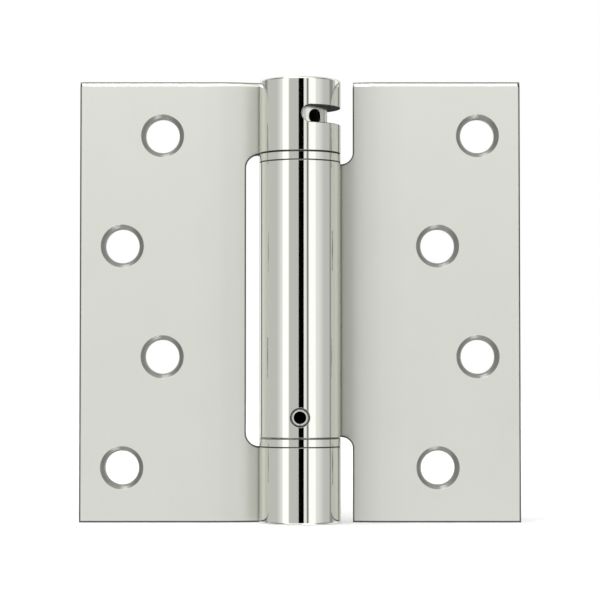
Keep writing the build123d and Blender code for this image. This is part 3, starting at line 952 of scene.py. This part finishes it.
def studio_card():
    """Node group: mask of a soft-edged card, from the azimuth and elevation of a ray."""
    group, given, put = new_group("Studio Card", ("Azimuth", "Elevation", *CARD_ANGLES), ("Mask",))
    half = math_node(group, "MULTIPLY", given["Softness"], 0.5)
    less = math_node(group, "MULTIPLY", half, -1.0)
    aside = math_node(group, "ABSOLUTE", math_node(group, "SUBTRACT", given["Azimuth"], given["Centre"]))
    mask = 1.0
    for outer, inner in (
        (given["Half Width"], aside),
        (given["Elevation"], given["Lowest"]),
        (given["Highest"], given["Elevation"]),
    ):
        within = math_node(group, "SUBTRACT", outer, inner)
        ramp = map_range(group, within, less, half, interpolation_type="SMOOTHSTEP")
        mask = math_node(group, "MULTIPLY", mask, ramp)
    group.links.new(mask, put["Mask"])


def studio_world():
    """World that the camera sees as white, and that lights and is mirrored as a room of cards."""
    studio_card()
    world = bpy.data.worlds.new("studio")
    tree = emptied(world)
    way = add_node(tree, "TexCoord")["Generated"]
    x, y, z = add_node(tree, "SeparateXYZ", {0: way})
    ray = {
        "Azimuth": math_node(tree, "ARCTAN2", x, math_node(tree, "MULTIPLY", y, -1.0)),
        "Elevation": math_node(tree, "ARCSINE", z),
    }
    light = ROOM_LEVEL
    for label, *degrees, level in CARDS:
        sizes = dict(zip(CARD_ANGLES, map(math.radians, degrees)))
        card = group_node(tree, "Studio Card", {**ray, **sizes}, label=label)
        light = mix(tree, card["Mask"], light, level)
    seen = add_node(tree, "LightPath")["Is Camera Ray"]
    shown = mix(tree, seen, light, 1.0)
    background = add_node(tree, "Background", {"Color": WHITE, "Strength": shown})
    add_node(tree, "OutputWorld", {"Surface": background[0]})
    return world


def floor_material(studio):
    """Pale floor, lifted to white where the camera sees it, with the hinge's shadow kept."""
    material = bpy.data.materials.new("pale_floor")
    tree = emptied(material)
    seen = add_node(tree, "LightPath")["Is Camera Ray"]
    look = {
        "Base Color": (*studio.floor_colour, 1.0),
        "Roughness": studio.floor_roughness,
        "Specular IOR Level": 0.0,
        "Emission Color": WHITE,
        "Emission Strength": math_node(tree, "MULTIPLY", seen, studio.floor_lift),
    }
    shader = add_node(tree, "BsdfPrincipled", look)
    add_node(tree, "OutputMaterial", {"Surface": shader[0]})
    return material


def dress(piece, material):
    """Gives a piece its material."""
    piece.data.materials.clear()
    piece.data.materials.append(bpy.data.materials[material])


class HINGE_OT_finishes(bpy.types.Operator):
    """Makes the metals that the pieces share"""

    bl_idname = "hinge.finishes"
    bl_label = "Make Finishes"

    def execute(self, context):
        finish = context.scene.hinge_finish
        polish_marks()
        painted_shade()
        hole_shade()
        shine = {"shiny": finish.barrel_roughness, "spread": finish.turned_spread}
        metal("nickel_plate", finish.plate_colour, finish.leaf_roughness, **PLATE_MARKS, **shine)
        for name, tint, rough, skin in (
            ("pin_steel", finish.steel_colour, finish.pin_roughness, None),
            ("collar_steel", finish.collar_colour, finish.steel_roughness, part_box("tension_collar")[1].x),
            ("anchor_steel", finish.steel_colour, finish.steel_roughness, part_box("spring_anchor")[1].x),
        ):
            metal(name, tint, rough, **STEEL_MARKS, skin=skin)
        metal("spring_wire", finish.spring_colour, finish.spring_roughness, **WIRE_MARKS, shaded=False)
        return {"FINISHED"}


class HINGE_OT_leaves(bpy.types.Operator):
    """Rolls the two leaves, with their knuckles, cut-outs and holes"""

    bl_idname = "hinge.leaves"
    bl_label = "Build Leaves"

    def execute(self, context):
        sizes = context.scene.hinge_sheet
        pin_edge = context.scene.hinge_fittings.pin_hole_edge
        frame_sheet = RolledSheet(sizes, FRAME_CROOK_SHADE)
        door_sheet = RolledSheet(sizes, DOOR_CROOK_SHADE)
        frame_rims = [frame_outline(frame_sheet), window_rim(frame_sheet)]
        frame_rims += screw_rims(frame_sheet, sizes.hole_inner, sizes.hole_outer)
        door_rims = [door_outline(door_sheet), pin_rim(door_sheet, pin_edge)]
        door_rims += screw_rims(door_sheet, sizes.hole_outer, sizes.hole_inner)
        for name, node, body, sheet, rims, mirrored in (
            ("frame_leaf_sheet", "frame_leaf", "frame_side", frame_sheet, frame_rims, False),
            ("door_leaf_sheet", "door_leaf", "door_side", door_sheet, door_rims, True),
        ):
            piece = sheet_piece(name, sheet, rims, mirrored)
            dress(piece, "nickel_plate")
            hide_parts(node)
            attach(piece, body)
        return {"FINISHED"}


class HINGE_OT_washers(bpy.types.Operator):
    """Turns the two bearing washers"""

    bl_idname = "hinge.washers"
    bl_label = "Build Washers"

    def execute(self, context):
        edge = context.scene.hinge_fittings.washer_edge
        radius, bore = BARREL_RADIUS, BARREL_RADIUS - context.scene.hinge_sheet.thickness
        for name, node, body, low, high in (
            ("upper_washer_ring", "upper_bearing_washer", "door_side", UPPER_WASHER_LOW, UPPER_WASHER_HIGH),
            ("lower_washer_ring", "lower_bearing_washer", "frame_side", LOWER_WASHER_LOW, LOWER_WASHER_HIGH),
        ):
            corners = [(bore, low.z), (radius, low.z), (radius, high.z), (bore, high.z)]
            piece = turned_ring(name, corners, edge)
            dress(piece, "nickel_plate")
            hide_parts(node)
            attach(piece, body)
        return {"FINISHED"}


class HINGE_OT_caps(bpy.types.Operator):
    """Turns the two end caps"""

    bl_idname = "hinge.caps"
    bl_label = "Build End Caps"

    def execute(self, context):
        bevel = context.scene.hinge_fittings.cap_edge
        radius = TOP_CAP_HIGH.x
        low, high = TOP_CAP_LOW.z, TOP_CAP_HIGH.z
        top = [(0, low), (radius, low), (radius, high - bevel), (radius - bevel, high), (0, high)]
        low, high = BOTTOM_CAP_LOW.z, BOTTOM_CAP_HIGH.z
        bottom = [(0, low), (radius - bevel, low), (radius, low + bevel), (radius, high), (0, high)]
        for name, node, corners in (
            ("top_cap_disc", "top_cap", top),
            ("bottom_cap_disc", "bottom_cap", bottom),
        ):
            piece = turned_disc(name, corners, bevel * CAP_EASE)
            dress(piece, "nickel_plate")
            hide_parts(node)
            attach(piece, "frame_side")
        return {"FINISHED"}


class HINGE_OT_roll_pin(bpy.types.Operator):
    """Rolls the slotted pin that holds the spring's anchor"""

    bl_idname = "hinge.roll_pin"
    bl_label = "Build Roll Pin"

    def execute(self, context):
        sizes = context.scene.hinge_fittings
        bore, radius, edge = sizes.pin_bore, PIN_HIGH.x, sizes.pin_edge
        front, back = PIN_LOW.y, PIN_HIGH.y
        bevelled = [(radius - edge, front), (radius, front + edge)]
        corners = [(bore, front), *bevelled, (radius, back), (bore, back)]
        piece = slit_tube("roll_pin_tube", corners, edge * PIN_EASE, sizes.pin_slit, PIN_LEVEL)
        dress(piece, "pin_steel")
        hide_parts("anchor_roll_pin")
        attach(piece, "door_side")
        return {"FINISHED"}


class HINGE_OT_inner_parts(bpy.types.Operator):
    """Gives the collar, anchor and spring, which keep their CAD shapes, their finishes"""

    bl_idname = "hinge.inner_parts"
    bl_label = "Finish Inner Parts"

    def execute(self, context):
        for node, material, slot in (
            ("tension_collar", "collar_steel", "plain_steel"),
            ("spring_anchor", "anchor_steel", "plain_steel"),
            ("torsion_spring", "spring_wire", "spring_steel"),
        ):
            dress(frame["nodes"][node], material)
        return {"FINISHED"}


class HINGE_OT_studio(bpy.types.Operator):
    """Sets up the floor, the light and the camera"""

    bl_idname = "hinge.studio"
    bl_label = "Build Studio"

    def execute(self, context):
        studio = context.scene.hinge_studio
        scene = context.scene
        scene.view_settings.view_transform = "Standard"
        scene.world = studio_world()
        half = studio.floor_size / 2
        level = CAD_LOW.z - studio.floor_gap
        mesh = bpy.data.meshes.new("floor")
        corners = [(-half, -half, level), (half, -half, level), (half, half, level), (-half, half, level)]
        mesh.from_pydata(corners, [], [(0, 1, 2, 3)])
        mesh.materials.append(floor_material(studio))
        floor = bpy.data.objects.new("floor", mesh)
        floor.visible_glossy = False
        scene.collection.objects.link(floor)
        lens = bpy.data.cameras.new("camera")
        lens.angle = studio.field
        camera = bpy.data.objects.new("camera", lens)
        camera.location = (0.0, -studio.camera_distance, -studio.camera_drop)
        aim = Vector((0.0, 0.0, studio.aim_height)) - camera.location
        camera.rotation_euler = aim.to_track_quat("-Z", "Y").to_euler()
        scene.collection.objects.link(camera)
        scene.camera = camera
        return {"FINISHED"}


BUILD_STEPS = (
    HINGE_OT_finishes,
    HINGE_OT_leaves,
    HINGE_OT_washers,
    HINGE_OT_caps,
    HINGE_OT_roll_pin,
    HINGE_OT_inner_parts,
    HINGE_OT_studio,
)
SETTINGS = {
    "hinge_sheet": HingeSheetSizes,
    "hinge_fittings": HingeFittingSizes,
    "hinge_finish": HingeFinish,
    "hinge_studio": HingeStudio,
}


class HINGE_PT_sidebar(bpy.types.Panel):
    """Lists the hinge's building steps and settings"""

    bl_idname = "HINGE_PT_sidebar"
    bl_label = "Spring Hinge"
    bl_space_type = "VIEW_3D"
    bl_region_type = "UI"
    bl_category = "Hinge"

    def draw(self, context):
        for step in BUILD_STEPS:
            self.layout.operator(step.bl_idname)
        for settings in SETTINGS:
            group = getattr(context.scene, settings)
            box = self.layout.box()
            for key in group.bl_rna.properties.keys():
                if key not in ("rna_type", "name"):
                    box.prop(group, key)


def register():
    for settings, group in SETTINGS.items():
        bpy.utils.register_class(group)
        setattr(bpy.types.Scene, settings, bpy.props.PointerProperty(type=group))
    for step in (*BUILD_STEPS, HINGE_PT_sidebar):
        bpy.utils.register_class(step)


def unregister():
    for step in (HINGE_PT_sidebar, *reversed(BUILD_STEPS)):
        bpy.utils.unregister_class(step)
    for settings, group in SETTINGS.items():
        delattr(bpy.types.Scene, settings)
        bpy.utils.unregister_class(group)


def main():
    register()
    bpy.ops.hinge.finishes()
    bpy.ops.hinge.leaves()
    bpy.ops.hinge.washers()
    bpy.ops.hinge.caps()
    bpy.ops.hinge.roll_pin()
    bpy.ops.hinge.inner_parts()
    bpy.ops.hinge.studio()


if __name__ == "__main__":
    main()
